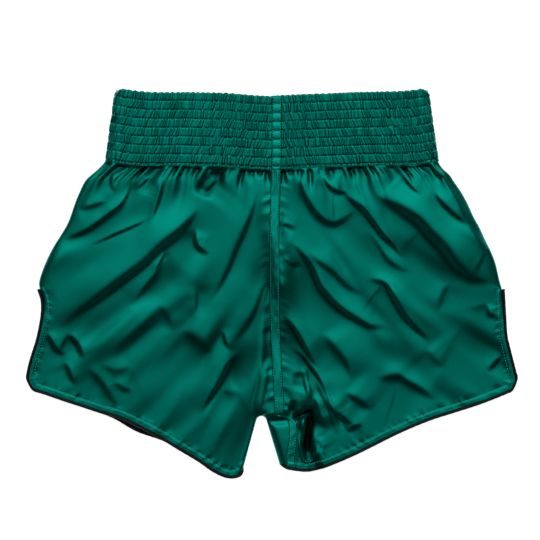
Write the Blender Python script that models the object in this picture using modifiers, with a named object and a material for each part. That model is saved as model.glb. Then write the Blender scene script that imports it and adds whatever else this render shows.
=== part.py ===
"""Boxing shorts lying flat and face up: gathered waistband, four leg panels, gusset, seams, bindings.

Metres. +Y runs to the waist, +Z is up, and the origin is on the floor, at the middle of the
rectangle that the shorts cover. Left (-X) and right (+X) are those of someone who looks down at
the front with the waist away from them.
Every sheet of cloth is a grid laid along its own mid-surface and given the cloth's thickness.
"""
import bisect
import math

import bpy

# Overall sizes
GARMENT_LENGTH = 0.376        # waist corners to the lowest point of the hem
HEM_SPAN = 0.474              # across both legs, over the bindings
WAIST_TOP_WIDTH = 0.302       # across the top of the waistband, relaxed
WAIST_BOTTOM_WIDTH = 0.322    # across the bottom of the waistband
WAISTBAND_HEIGHT = 0.070
WAIST_DIP = 0.008             # the waistband's middle sits this much below its corners

# Cloth, elastic and binding
CLOTH = 0.0005
ELASTIC_THICKNESS = 0.0008
ELASTIC_WIDTH = 0.006
ELASTIC_ROWS = 8
ELASTIC_PITCH = 0.0085
BINDING_RADIUS = 0.0013
CENTRE_STRIP = 0.0085         # width of the taped centre seams
INSEAM_STRIP = 0.007          # width of the taped inner leg seams
TUCK = 0.0022                 # panel held between the two layers of the waistband

# Clearances between neighbours
GAP = 0.0005                  # cloth edge to cloth edge
SEAM_GAP = 0.0010             # along the curved inner leg seams
CASING_GAP = 0.0004           # elastic to the casing on each side
BINDING_GAP = 0.0006          # binding to the cloth edge that it closes

# Levels and roundings
BACK_LEVEL = 0.0013           # middle of the back layer
FRONT_LEVEL = 0.0119          # middle of the front layer at the waist
HEM_LEVEL = 0.0090            # middle of the front layer at the hems
WAIST_ROUNDING = 0.010        # how far in the side folds are round, at the waist
SIDE_ROUNDING = 0.016         # the same at the hips
FOLD_ROUNDING = 0.008         # the same along the inner leg folds
SEAM_LIFT = 0.0004            # half the gap between front and back at a side seam
SLIT_LIFT = 0.0018            # half the opening at the top of a side slit
SEAM_PARTING = 0.004          # the side seams part this much above the slits
SLIT_SPREAD = 0.040           # the slit's edges part fully over this length
DROOP_SPREAD = 0.20           # the front layer sinks to the hem's level over this length
ROUNDING_SPREAD = 0.038       # the side folds widen to the hips' rounding over this length

# Legs
CORNER_RISE = 0.0873          # lowest point of the hem up to the outer hem corners
SLIT_LENGTH = 0.0925          # side slits, from the hem corners up
CROTCH_RISE = 0.0523          # lowest point of the hem up to the middle of the crotch's round
CROTCH_X = -0.0103
CROTCH_RADIUS = 0.005         # the gap between the legs is round at the top
LEFT_SLANT = math.radians(15.2)
RIGHT_SLANT = math.radians(16.7)
INNER_RISE = {-1: 0.0013, 1: 0.0103}      # lowest point up to the inner end of each hem
LOW_STEP = {-1: (0.0129, 0.0013), 1: (0.0242, 0.0035)}  # inner end out and down to the hem's low

# Inner leg seams, as distances over the fold, from behind it to in front of it
SEAM_HIDDEN = {1: -0.0037, -1: 0.0045}    # on the leg where the seam lies behind the fold
SEAM_SHOWN = 0.0256                       # on the other leg, at the crotch
SEAM_SHOWN_HEM = 0.0129                   # and at its hem
SEAM_CROSSING = (-0.004, 0.012)           # it changes over between these places along the fold
FOLD_ARC = 0.0104                         # length over the round part, edge to flat

FRONT, BACK = 1, -1
LEFT, RIGHT = -1, 1

TOP_Y = GARMENT_LENGTH / 2
BAND_FOOT = TOP_Y - WAISTBAND_HEIGHT
CASING_OFFSET = ELASTIC_THICKNESS / 2 + CASING_GAP + CLOTH / 2
CASING_EDGE = CASING_OFFSET + CLOTH / 2   # mid-surface to the outside of the waistband
HEM_MARGIN = BINDING_GAP + 2 * BINDING_RADIUS
CORNER_X = HEM_SPAN / 2 - HEM_MARGIN
LOWEST_Y = -GARMENT_LENGTH / 2 + HEM_MARGIN
CORNER_Y = LOWEST_Y + CORNER_RISE
SLIT_TOP = CORNER_Y + SLIT_LENGTH
CROTCH_Y = LOWEST_Y + CROTCH_RISE
WAIST_X = WAIST_BOTTOM_WIDTH / 2 - CASING_EDGE
HIP_Y = BAND_FOOT - 0.014     # the panels have swelled out of the waistband here


def mix(start, end, share):
    return start + (end - start) * share


def ease(share):
    share = min(max(share, 0.0), 1.0)
    return share * share * (3 - 2 * share)


def smooth_line(points, count):
    """Evenly spaced points on a soft curve through the given ones."""
    ends = [tuple(2 * a - b for a, b in zip(points[0], points[1]))]
    ends += list(points)
    ends.append(tuple(2 * a - b for a, b in zip(points[-1], points[-2])))
    fine = []
    for i in range(1, len(ends) - 2):
        p0, p1, p2, p3 = ends[i - 1:i + 3]
        for step in range(40):
            t = step / 40
            fine.append(tuple(
                0.5 * (2 * b + (c - a) * t + (2 * a - 5 * b + 4 * c - d) * t * t
                       + (3 * b - a - 3 * c + d) * t ** 3)
                for a, b, c, d in zip(p0, p1, p2, p3)))
    fine.append(tuple(points[-1]))
    run = [0.0]
    for a, b in zip(fine, fine[1:]):
        run.append(run[-1] + math.dist(a, b))
    line = []
    for i in range(count):
        at = run[-1] * i / (count - 1)
        j = min(max(bisect.bisect_left(run, at), 1), len(run) - 1)
        share = (at - run[j - 1]) / (run[j] - run[j - 1])
        line.append(tuple(mix(a, b, share) for a, b in zip(fine[j - 1], fine[j])))
    return line


def read_line(line, value, key, wanted):
    """Interpolates one coordinate of a curve from another that only grows or only shrinks."""
    pairs = sorted((p[key], p[wanted]) for p in line)
    value = min(max(value, pairs[0][0]), pairs[-1][0])
    j = min(max(bisect.bisect_left(pairs, (value,)), 1), len(pairs) - 1)
    (a, low), (b, high) = pairs[j - 1], pairs[j]
    return mix(low, high, (value - a) / (b - a))


# Places along the inner folds

def fold_slant(leg):
    return RIGHT_SLANT if leg > 0 else LEFT_SLANT


def crotch_arc(leg):
    """Length of the crotch's round on one leg."""
    return CROTCH_RADIUS * (math.pi / 2 - fold_slant(leg))


def fold_frame(along):
    """Point on the inner folds and the way into the cloth; minus is the left leg."""
    leg = 1 if along >= 0 else -1
    arc = crotch_arc(leg)
    turn = min(abs(along), arc) / CROTCH_RADIUS
    inward = (leg * math.sin(turn), math.cos(turn))
    past = max(abs(along) - arc, 0.0)
    x = CROTCH_X + CROTCH_RADIUS * inward[0] + past * leg * inward[1]
    y = CROTCH_Y + CROTCH_RADIUS * inward[1] - past * abs(inward[0])
    return (x, y), inward


def fold_distance(x, y):
    """How far a point of the cloth lies from the crotch and the inner folds."""
    leg = 1 if x >= CROTCH_X else -1
    x, y, slant = x - CROTCH_X, y - CROTCH_Y, fold_slant(leg)
    along = leg * x * math.sin(slant) - y * math.cos(slant)
    if along < 0:
        return math.hypot(x, y) - CROTCH_RADIUS
    return leg * x * math.cos(slant) + y * math.sin(slant) - CROTCH_RADIUS


def fold_length(leg):
    """From the crotch's top to the hem, along the inner fold."""
    slant = fold_slant(leg)
    drop = CROTCH_RISE + CROTCH_RADIUS * math.sin(slant) - INNER_RISE[leg]
    return crotch_arc(leg) + drop / math.cos(slant)


# Outlines of the cloth, seen from above

SIDE_SHAPE = [(0.40, 0.25), (0.57, 0.514), (0.77, 0.778), (0.842, 1.0)]  # waist to slit: out, down
SIDE_LINE = smooth_line(
    [(WAIST_X, BAND_FOOT - 3 * GAP), (WAIST_X + 0.0145, HIP_Y)]
    + [(mix(WAIST_X, CORNER_X, out), mix(HIP_Y, SLIT_TOP, down)) for out, down in SIDE_SHAPE]
    + [(mix(WAIST_X, CORNER_X, 0.822), mix(SLIT_TOP, CORNER_Y, 0.24)),
       (mix(WAIST_X, CORNER_X, 0.90), mix(SLIT_TOP, CORNER_Y, 0.55)),
       (CORNER_X, mix(SLIT_TOP, CORNER_Y, 0.90)), (CORNER_X - 0.0008, CORNER_Y)], 240)

HEM_SHAPE = {                                         # lowest point to corner: out, up
    LEFT: [(0.088, 0.095), (0.336, 0.387), (0.602, 0.651), (0.864, 0.874)],
    RIGHT: [(0.121, 0.072), (0.356, 0.335), (0.614, 0.621), (0.871, 0.863)]}


def hem_line(leg):
    """The hem of one leg, from the inner fold to the outer corner."""
    inner = fold_frame(leg * fold_length(leg))[0]
    low = (inner[0] + leg * LOW_STEP[leg][0], inner[1] - LOW_STEP[leg][1])
    corner = (leg * SIDE_LINE[-1][0], SIDE_LINE[-1][1])
    bends = [(mix(low[0], corner[0], out), mix(low[1], corner[1], up)) for out, up in HEM_SHAPE[leg]]
    return smooth_line([inner, low] + bends + [corner], 240)


HEM_LINE = {LEFT: hem_line(LEFT), RIGHT: hem_line(RIGHT)}

WAIST_MIDDLE_Y = mix(BAND_FOOT, CROTCH_Y, 0.61)
CENTRE_FOOT_Y = CROTCH_Y + 0.0025
CENTRE_LINE = {
    FRONT: smooth_line([(0.0050, TOP_Y), (0.0043, BAND_FOOT), (0.0029, WAIST_MIDDLE_Y),
                        (0.0077, CENTRE_FOOT_Y)], 60),
    BACK: smooth_line([(-0.0030, TOP_Y), (-0.0060, BAND_FOOT), (-0.0150, WAIST_MIDDLE_Y),
                       (-0.0285, CENTRE_FOOT_Y)], 60)}


def centre_x(y, side):
    return read_line(CENTRE_LINE[side], y, 1, 0)


def side_x(y):
    return read_line(SIDE_LINE, y, 1, 0)


# Heights of the two layers

def round_rise(distance, reach):
    """Share of the full height at a distance in from a rounded fold."""
    share = min(max(distance / reach, 0.0), 1.0)
    return math.sqrt(1 - (1 - share) ** 2)


def edge_lift(y, half):
    """Half the distance between front and back at their outer edges."""
    if y > SLIT_TOP:
        return mix(SLIT_LIFT, SEAM_LIFT, ease((y - SLIT_TOP) / SEAM_PARTING))
    return mix(SLIT_LIFT, half, ease((SLIT_TOP - y) / SLIT_SPREAD))


def layer_height(x, y, side):
    """Height of the middle of the front or back layer."""
    front = mix(HEM_LEVEL, FRONT_LEVEL, ease((y - CORNER_Y) / DROOP_SPREAD))
    centre, half = (front + BACK_LEVEL) / 2, (front - BACK_LEVEL) / 2
    rounding = mix(WAIST_ROUNDING, SIDE_ROUNDING, ease((BAND_FOOT - y) / ROUNDING_SPREAD))
    lift = edge_lift(y, half)
    rise = lift + (half - lift) * round_rise(side_x(y) - abs(x), rounding)
    return centre + side * rise * round_rise(fold_distance(x, y), FOLD_ROUNDING)


# Routes over the inner folds

def inset(over):
    """Flat distance from the fold to a point reached by going over it."""
    over = abs(over)
    if over < FOLD_ARC:
        return FOLD_ROUNDING * (1 - math.cos(over / FOLD_ARC * math.pi / 2))
    return FOLD_ROUNDING + over - FOLD_ARC


def hem_point(leg, distance):
    """Point of the hem at a flat distance from the inner fold, and its length along the fold."""
    line = [(fold_distance(*p), *p) for p in HEM_LINE[leg]]
    x, y = read_line(line, distance, 0, 1), read_line(line, distance, 0, 2)
    slant = fold_slant(leg)
    down = leg * (x - CROTCH_X) * math.sin(slant) - (y - CROTCH_Y) * math.cos(slant)
    return (x, y), crotch_arc(leg) + down


def seam_over(share, side):
    """Place of an inner leg seam over the fold; share runs from -1, left hem, to 1, right hem."""
    leg = 1 if share >= 0 else -1
    length = fold_length(leg)
    along = side * share * length
    first, last = SEAM_CROSSING
    shown = mix(SEAM_SHOWN, SEAM_SHOWN_HEM, ease((along - last) / (length - last)))
    return side * mix(SEAM_HIDDEN[side], shown, ease((along - first) / (last - first)))


def over_fold(share, over):
    """Point of the cloth, given its place along the folds and over them."""
    leg = 1 if share >= 0 else -1
    _, length = hem_point(leg, inset(over))
    (x, y), inward = fold_frame(share * length)
    x, y = x + inward[0] * inset(over), y + inward[1] * inset(over)
    side = FRONT if over >= 0 else BACK
    return x, y, layer_height(x, y, side)


def seam_edge(share, side, shift):
    """A point beside an inner leg seam, shifted towards the panels, or back to the gusset if minus."""
    return over_fold(share, seam_over(share, side) + side * shift)


PANEL_SHIFT = INSEAM_STRIP / 2 + SEAM_GAP


def crotch_share(beside, side):
    """Where the inner leg seam's upper edge meets a line beside the centre seam."""
    low, high = (-0.16, 0.30) if side == FRONT else (-0.30, 0.16)
    for _ in range(30):
        middle = (low + high) / 2
        x, y, _ = seam_edge(middle, side, PANEL_SHIFT)
        if x < centre_x(y, side) + beside:
            low = middle
        else:
            high = middle
    return (low + high) / 2


# Building a sheet

parts = bpy.data.collections.new("boxing_shorts")


def make_material(name, colour, roughness, metallic):
    material = bpy.data.materials.new(name)
    material.use_nodes = True
    shader = material.node_tree.nodes["Principled BSDF"]
    shader.inputs["Base Color"].default_value = (*colour, 1.0)
    shader.inputs["Roughness"].default_value = roughness
    shader.inputs["Metallic"].default_value = metallic
    material.diffuse_color = (*colour, 1.0)
    return material


def keep(piece, name, material):
    piece.name = name
    piece.data.name = name
    for collection in list(piece.users_collection):
        collection.objects.unlink(piece)
    parts.objects.link(piece)
    piece.data.materials.clear()
    piece.data.materials.append(material)


def lay_sheet(name, across, down, place, material):
    """Grid laid by place(u, v) at the given shares across and down, then given its thickness."""
    bpy.ops.mesh.primitive_grid_add(x_subdivisions=len(across) - 1, y_subdivisions=len(down) - 1, size=1)
    sheet = bpy.context.object
    for vertex in sheet.data.vertices:
        column = round((vertex.co.x + 0.5) * (len(across) - 1))
        row = round((vertex.co.y + 0.5) * (len(down) - 1))
        vertex.co = place(across[column], down[row])
    thicken(sheet, CLOTH)
    keep(sheet, name, material)


def thicken(sheet, thickness):
    solid = sheet.modifiers.new("thickness", "SOLIDIFY")
    solid.thickness = thickness
    solid.offset = 0.0
    for polygon in sheet.data.polygons:
        polygon.use_smooth = True


def shares(count, start=0.0, end=1.0):
    return [mix(start, end, i / (count - 1)) for i in range(count)]


# Waistband

def band_point(x, side, drop, offset):
    """Point on the flat front or back of the waistband, a drop below its top edge."""
    width = band_width(drop)
    y = TOP_Y - drop - WAIST_DIP * (1 - (x / width) ** 2)
    middle, half = (FRONT_LEVEL + BACK_LEVEL) / 2, (FRONT_LEVEL - BACK_LEVEL) / 2
    return x, y, middle + side * (half + offset)


def band_width(drop):
    """Half width of the waistband's mid-surface at a drop below the top edge."""
    return mix(WAIST_TOP_WIDTH, WAIST_BOTTOM_WIDTH, drop / WAISTBAND_HEIGHT) / 2 - CASING_EDGE


def band_side(leg, angle, drop, offset):
    """Point on the rounded side of the waistband; the angle runs from 90 at the front to -90."""
    width = band_width(drop)
    middle, half = (FRONT_LEVEL + BACK_LEVEL) / 2, (FRONT_LEVEL - BACK_LEVEL) / 2
    flat = width - WAIST_ROUNDING
    x = flat + (WAIST_ROUNDING + offset) * math.cos(angle)
    y = TOP_Y - drop - WAIST_DIP * (1 - min(x / width, 1.0) ** 2)
    return leg * x, y, middle + (half + offset) * math.sin(angle)


def casing_profile():
    """Drop and offset from the outer bottom edge, over the top fold, to the inner bottom edge."""
    fold = CASING_EDGE
    outer = [(WAISTBAND_HEIGHT, CASING_OFFSET), (mix(fold, WAISTBAND_HEIGHT, 0.5), CASING_OFFSET)]
    top = []
    for i in range(7):
        angle = math.pi * i / 6
        top.append((fold - CASING_OFFSET * math.sin(angle), CASING_OFFSET * math.cos(angle)))
    inner = [(drop, -offset) for drop, offset in reversed(outer)]
    return outer + top + inner


BAND_TURN = 0.4               # share of a casing's run that is the flat front, and the flat back


def place_casing(leg):
    def place(u, v):
        drop, offset = v
        flat = leg * (band_width(drop) - WAIST_ROUNDING)
        if u <= BAND_TURN or u >= 1 - BAND_TURN:
            side, share = (FRONT, u / BAND_TURN) if u <= BAND_TURN else (BACK, (1 - u) / BAND_TURN)
            start = centre_x(TOP_Y - drop, side) + leg * (CENTRE_STRIP / 2 + GAP)
            return band_point(mix(start, flat, share), side, drop, offset)
        turn = (u - BAND_TURN) / (1 - 2 * BAND_TURN)
        return band_side(leg, math.pi * (0.5 - turn), drop, offset)
    return place


def make_waistband(satin, rubber):
    run = shares(4, 0.0, BAND_TURN) + shares(9, BAND_TURN, 1 - BAND_TURN)[1:-1]
    run += shares(4, 1 - BAND_TURN, 1.0)
    lay_sheet("waistband_casing_left", run, casing_profile(), place_casing(LEFT), satin)
    lay_sheet("waistband_casing_right", run, casing_profile(), place_casing(RIGHT), satin)
    first = CASING_EDGE + CASING_GAP + ELASTIC_WIDTH / 2
    for row in range(ELASTIC_ROWS):
        make_elastic("elastic_%d" % (row + 1), first + row * ELASTIC_PITCH, rubber)


def make_elastic(name, drop, material):
    """A flat band all the way round, made from an open cylinder."""
    flats, arcs = 4, 8
    count = 2 * (flats + arcs)
    bpy.ops.mesh.primitive_cylinder_add(
        vertices=count, radius=1, depth=ELASTIC_WIDTH, end_fill_type="NOTHING")
    band = bpy.context.object
    for vertex in band.data.vertices:
        turn = math.atan2(vertex.co.y, vertex.co.x) / (2 * math.pi) * count
        place = round(turn + arcs / 2) % count
        edge = drop - vertex.co.z
        if place <= arcs:
            vertex.co = band_side(RIGHT, math.pi * (place / arcs - 0.5), edge, 0.0)
        elif place < arcs + flats:
            flat = band_width(edge) - WAIST_ROUNDING
            vertex.co = band_point(mix(flat, -flat, (place - arcs) / flats), FRONT, edge, 0.0)
        elif place <= 2 * arcs + flats:
            vertex.co = band_side(LEFT, math.pi * (0.5 - (place - arcs - flats) / arcs), edge, 0.0)
        else:
            flat = band_width(edge) - WAIST_ROUNDING
            share = (place - 2 * arcs - flats) / flats
            vertex.co = band_point(mix(-flat, flat, share), BACK, edge, 0.0)
    thicken(band, ELASTIC_THICKNESS)
    keep(band, name, material)


# Panels, seams and gusset

EDGE_SHARES = [0.0, 0.003, 0.012, 0.027, 0.046, 0.075]
PANEL_FLAT = shares(5, 0.17, 0.83)
CENTRE_DOWN = [0.0, 0.08, 0.16, 0.26, 0.38, 0.50, 0.62, 0.74, 0.87, 1.0]  # foot of band to crotch
SEAM_PART = sum(1 for p in SIDE_LINE if p[1] >= SLIT_TOP) / len(SIDE_LINE)  # side line above the slit
TUCK_PART = 0.01              # share of a panel's rows that is inside the waistband
LEG_SHARES = [0.02, 0.04, 0.06, 0.08, 0.10, 0.13, 0.17, 0.22, 0.30, 0.42, 0.56, 0.70, 0.85, 1.0]


def band_foot(x):
    """Where a panel's top edge lies inside the waistband."""
    return BAND_FOOT + TUCK - WAIST_DIP * (1 - (x / WAIST_X) ** 2)


def leg_rows(start, leg):
    """Shares along an inner leg seam from a start near the crotch to one hem."""
    both = [-s for s in reversed(LEG_SHARES)] + [0.0] + LEG_SHARES
    return [start] + sorted((s for s in both if leg * (s - start) > 0.008), reverse=leg < 0)


def panel_edges(leg, side):
    """A panel's inner edge, beside the centre and leg seams, its outer edge, and the shares of their rows."""
    beside = leg * (CENTRE_STRIP / 2 + GAP)
    start = crotch_share(beside, side)
    top = band_foot(centre_x(BAND_FOOT, side) + beside)
    foot = top - TUCK - 3 * GAP
    bottom = seam_edge(start, side, PANEL_SHIFT)[1]
    inner = [(centre_x(top, side) + beside, top)]
    outer = [(leg * WAIST_X, BAND_FOOT + TUCK)]
    rows = [0.0]
    downs = [(s, SEAM_PART * s) for s in CENTRE_DOWN]
    downs += [(s, mix(SEAM_PART, 1.0, (s - start) / (leg - start))) for s in leg_rows(start, leg)[1:]]
    for index, (s, down) in enumerate(downs):
        y = mix(foot, bottom, s)
        on_centre = index < len(CENTRE_DOWN)
        inner.append((centre_x(y, side) + beside, y) if on_centre else seam_edge(s, side, PANEL_SHIFT)[:2])
        x, y = read_along(SIDE_LINE, down)
        outer.append((leg * x, y))
        rows.append(mix(TUCK_PART, 1.0, down))
    return inner, outer, rows


def make_panel(name, leg, side, material):
    """A leg panel, blended between its top edge, side edge, hem and inner edge."""
    inner, outer, rows = panel_edges(leg, side)
    hem_start = fold_distance(*inner[-1])
    hem = [p for p in HEM_LINE[leg] if fold_distance(*p) > hem_start + 0.001]
    hem = smooth_line([inner[-1]] + hem[::8] + [hem[-1]], 101)

    def place(u, v):
        left, right = inner[rows.index(v)], outer[rows.index(v)]
        top_x = mix(inner[0][0], outer[0][0], u)
        top = (top_x, band_foot(top_x))
        bottom = read_along(hem, u)
        x, y = (
            mix(left[i], right[i], u) + mix(top[i], bottom[i], v)
            - mix(mix(inner[0][i], outer[0][i], u), mix(inner[-1][i], outer[-1][i], u), v)
            for i in (0, 1))
        return x, y, layer_height(x, y, side)

    rolled = EDGE_SHARES if leg * side < 0 else [0.0, 0.05]
    across = rolled + PANEL_FLAT + [1 - s for s in reversed(EDGE_SHARES)]
    lay_sheet(name, across, rows, place, material)


def read_along(line, share):
    at = share * (len(line) - 1)
    j = min(int(at), len(line) - 2)
    return tuple(mix(a, b, at - j) for a, b in zip(line[j], line[j + 1]))


def make_centre_seam(name, side, material):
    """Tape inside the waistband, over its top fold, down its outside and on down to the crotch."""
    upper = [(drop, offset) for drop, offset in reversed(casing_profile())]

    def place(u, v):
        if v < len(upper):
            drop, offset = upper[v]
            x = centre_x(TOP_Y - drop, side) + u * CENTRE_STRIP / 2
            return band_point(x, side, drop, offset)
        beside = u * CENTRE_STRIP / 2
        bottom = seam_edge(crotch_share(beside, side), side, PANEL_SHIFT)[1] + SEAM_GAP
        foot = band_foot(centre_x(BAND_FOOT, side)) - TUCK - 3 * GAP
        y = mix(foot, bottom, CENTRE_DOWN[v - len(upper)])
        x = centre_x(y, side) + beside
        return x, y, layer_height(x, y, side)

    rows = list(range(len(upper) + len(CENTRE_DOWN)))
    lay_sheet(name, [-1, 0, 1], rows, place, material)


def make_inseams(material):
    """The taped seams that run up one leg, past the crotch and down the other, front and back."""
    for side, label in ((FRONT, "front"), (BACK, "back")):
        middle = crotch_share(0.0, side)
        for leg, name in ((LEFT, "left"), (RIGHT, "right")):
            start = middle + leg * 0.004

            def place(u, v, side=side):
                return seam_edge(v, side, u * INSEAM_STRIP / 2)

            lay_sheet("%s_%s_inseam" % (label, name), [-1, 0, 1], leg_rows(start, leg), place, material)


def make_gusset(material):
    """One piece of cloth through the crotch, from hem to hem between the inner leg seams."""
    def place(u, v):
        front = seam_over(v, FRONT) - PANEL_SHIFT
        back = seam_over(v, BACK) + PANEL_SHIFT
        return over_fold(v, mix(back, front, u))

    lay_sheet("crotch_gusset", shares(7), leg_rows(-1, RIGHT), place, material)


# Bindings

def beside_edge(line, turn, side):
    """Middle of the binding beside a cloth edge, on the side that turn gives."""
    reach = BINDING_GAP + BINDING_RADIUS
    route = []
    for index, point in enumerate(line):
        a, b = line[max(index - 1, 0)], line[min(index + 1, len(line) - 1)]
        length = math.dist(a, b)
        away = (turn * (b[1] - a[1]) / length, turn * (a[0] - b[0]) / length)
        route.append((point[0] + away[0] * reach, point[1] + away[1] * reach,
                      layer_height(*point, side)))
    return route


def edge_route(leg, side):
    """Middle of the binding from the inner fold along the hem, round the corner, up the slit."""
    fold = [hem_point(leg, inset(FOLD_ARC * i / 6))[0] for i in range(7)]
    rest = [p for p in HEM_LINE[leg] if fold_distance(*p) > FOLD_ROUNDING + 0.001]
    rest = smooth_line([fold[-1]] + rest[::8] + [rest[-1]], 121)
    hem = fold + [read_along(rest, s ** 1.5) for s in shares(20)[1:]]
    slit = [(leg * x, y) for x, y in reversed(SIDE_LINE) if y <= SLIT_TOP]
    slit = smooth_line(slit[::6] + [slit[-1]], 13)
    route, climb = beside_edge(hem, leg, side), beside_edge(slit, leg, side)
    corner = hem[-1]
    middle = [(a + b) / 2 - c for a, b, c in zip(route[-1], climb[0], (*corner, route[-1][2]))]
    scale = (BINDING_GAP + BINDING_RADIUS) / math.hypot(middle[0], middle[1])
    bend = (corner[0] + middle[0] * scale, corner[1] + middle[1] * scale, route[-1][2])
    return route + [bend] + climb


def make_binding(name, leg, material):
    """One closed tube round a leg: hem, corner, slit, over the slit's top and back again."""
    front, back = edge_route(leg, FRONT), edge_route(leg, BACK)
    tip_x, tip_y, front_z = front[-1]
    back_z = back[-1][2]
    middle, half = (front_z + back_z) / 2, (front_z - back_z) / 2
    tip = []
    for i in range(1, 4):
        angle = math.pi * i / 4
        tip.append((tip_x, tip_y + half * math.sin(angle), middle + half * math.cos(angle)))
    route = front + tip + list(reversed(back[1:]))
    curve = bpy.data.curves.new(name, "CURVE")
    curve.dimensions = "3D"
    curve.bevel_depth = BINDING_RADIUS
    curve.bevel_resolution = 2
    curve.use_fill_caps = True
    curve.render_resolution_u = 0
    spline = curve.splines.new("POLY")
    spline.points.add(len(route) - 1)
    for point, spot in zip(spline.points, route):
        point.co = (*spot, 1.0)
    spline.use_cyclic_u = True
    binding = bpy.data.objects.new(name, curve)
    curve.materials.append(material)
    parts.objects.link(binding)


def main():
    for piece in list(bpy.data.objects):
        bpy.data.objects.remove(piece)
    bpy.context.scene.collection.children.link(parts)
    satin = make_material("satin", (0.0, 0.155, 0.115), 0.42, 0.55)
    tape = make_material("tape", (0.0, 0.170, 0.128), 0.45, 0.50)
    trim = make_material("black_trim", (0.006, 0.006, 0.008), 0.50, 0.0)
    rubber = make_material("elastic", (0.75, 0.74, 0.70), 0.80, 0.0)
    make_waistband(satin, rubber)
    for side, label in ((FRONT, "front"), (BACK, "back")):
        make_panel(label + "_left_panel", LEFT, side, satin)
        make_panel(label + "_right_panel", RIGHT, side, satin)
        make_centre_seam("centre_%s_seam" % label, side, tape)
    make_gusset(satin)
    make_inseams(tape)
    make_binding("left_leg_binding", LEFT, trim)
    make_binding("right_leg_binding", RIGHT, trim)


main()
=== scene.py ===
"""Boxing shorts in satin, laid flat and face up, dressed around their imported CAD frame."""
import math

import bpy
import numpy as np
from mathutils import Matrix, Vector


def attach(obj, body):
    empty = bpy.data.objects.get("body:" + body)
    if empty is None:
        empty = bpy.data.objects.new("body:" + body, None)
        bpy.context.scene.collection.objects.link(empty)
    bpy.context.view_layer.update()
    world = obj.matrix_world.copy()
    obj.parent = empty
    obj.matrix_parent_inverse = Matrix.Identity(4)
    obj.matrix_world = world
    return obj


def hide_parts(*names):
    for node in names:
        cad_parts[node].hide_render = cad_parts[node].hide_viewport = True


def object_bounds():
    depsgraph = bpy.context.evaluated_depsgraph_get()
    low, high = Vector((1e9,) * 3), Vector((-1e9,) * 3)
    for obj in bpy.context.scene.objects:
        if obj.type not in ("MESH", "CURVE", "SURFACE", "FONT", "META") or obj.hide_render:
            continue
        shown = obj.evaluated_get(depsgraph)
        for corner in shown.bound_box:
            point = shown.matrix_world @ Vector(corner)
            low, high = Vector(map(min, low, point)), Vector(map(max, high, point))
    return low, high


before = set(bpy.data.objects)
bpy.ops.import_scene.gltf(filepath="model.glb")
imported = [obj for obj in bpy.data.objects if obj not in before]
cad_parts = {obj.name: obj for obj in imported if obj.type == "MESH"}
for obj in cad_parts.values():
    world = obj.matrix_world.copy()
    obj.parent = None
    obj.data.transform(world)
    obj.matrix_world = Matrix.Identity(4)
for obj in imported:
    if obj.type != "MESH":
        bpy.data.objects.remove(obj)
cad_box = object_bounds()

# Table and light. The shorts lie on a wide white table under one large soft window of light beyond
# the waist, so folds that fall away towards the hems go dark. Three low lamps keep the sides and the
# back readable. The camera hangs straight above.
low, high = cad_box
middle = (low + high) / 2
HANG = 2.0                                   # camera above the cloth
SPAN = 0.5184                                # what it takes in, side to side
VIEW_X, VIEW_Y = -0.0019, 0.0134             # middle of the view, from the middle of the shorts
camera = bpy.data.cameras.new("camera")
camera.sensor_width = 36
camera.lens = camera.sensor_width * HANG / SPAN
camera_stand = bpy.data.objects.new("camera", camera)
camera_stand.location = (middle.x + VIEW_X, middle.y + VIEW_Y, high.z + HANG)
bpy.context.scene.collection.objects.link(camera_stand)
bpy.context.scene.camera = camera_stand
bpy.context.scene.view_settings.view_transform = "Standard"

bpy.ops.object.select_all(action="DESELECT")
bpy.ops.mesh.primitive_plane_add(size=8, location=(0, 0, -0.0002))
table = bpy.context.object
table.name = "table"
paint = bpy.data.materials.new("table_white")
paint.use_nodes = True
shader = paint.node_tree.nodes["Principled BSDF"]
shader.inputs["Base Color"].default_value = (0.9, 0.9, 0.9, 1)
shader.inputs["Roughness"].default_value = 0.9
shader.inputs["Emission Color"].default_value = (1, 1, 1, 1)
shader.inputs["Emission Strength"].default_value = 0.92
table.data.materials.append(paint)


def hang_light(name, place, aim, size, watts):
    lamp = bpy.data.lights.new(name, "AREA")
    lamp.shape = "RECTANGLE"
    lamp.size, lamp.size_y = size
    lamp.energy = watts
    stand = bpy.data.objects.new(name, lamp)
    stand.location = place
    stand.rotation_euler = (Vector(aim) - Vector(place)).to_track_quat("-Z", "Y").to_euler()
    bpy.context.scene.collection.objects.link(stand)


hang_light("window_light", (0.0, 2.7, 4.1), (0, 0.05, 0), (5.6, 3.1), 100)
hang_light("top_light", (0.0, 0.5, 5.2), (0, 0, 0), (3.6, 2.0), 19)
for name, x, y in (("near_fill", 0.0, -5.2), ("left_fill", -4.5, -2.6), ("right_fill", 4.5, -2.6)):
    hang_light(name, (x, y, 0.95), (0, 0, 0), (5.2, 0.9), 4.5)
room = bpy.data.worlds.new("studio")
bpy.context.scene.world = room
room.use_nodes = True
room.node_tree.nodes["Background"].inputs["Color"].default_value = (1, 1, 1, 1)
room.node_tree.nodes["Background"].inputs["Strength"].default_value = 0.012


# Leg panels. Four pieces of light polyester satin, cut wide and gathered into the waistband, so
# they fall in long folds that run out to the sides. Each lies on the one below, turned at its edges.
LEFT, RIGHT = -1, 1
BACK, FRONT = -1, 1
MM = 0.001
CLOTH = 0.00035


def mix(a, b, share):
    return a + (b - a) * share


def ease(share):
    share = np.clip(share, 0.0, 1.0)
    return share * share * (3 - 2 * share)


def lengths_along(line):
    return np.append(0, np.cumsum(np.linalg.norm(np.diff(line, axis=0), axis=1)))


def points_at(line, run, at):
    """Points of a line at given lengths along it; run has the length at each of its own points."""
    return np.stack([np.interp(at, run, c) for c in line.T], 1)


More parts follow.
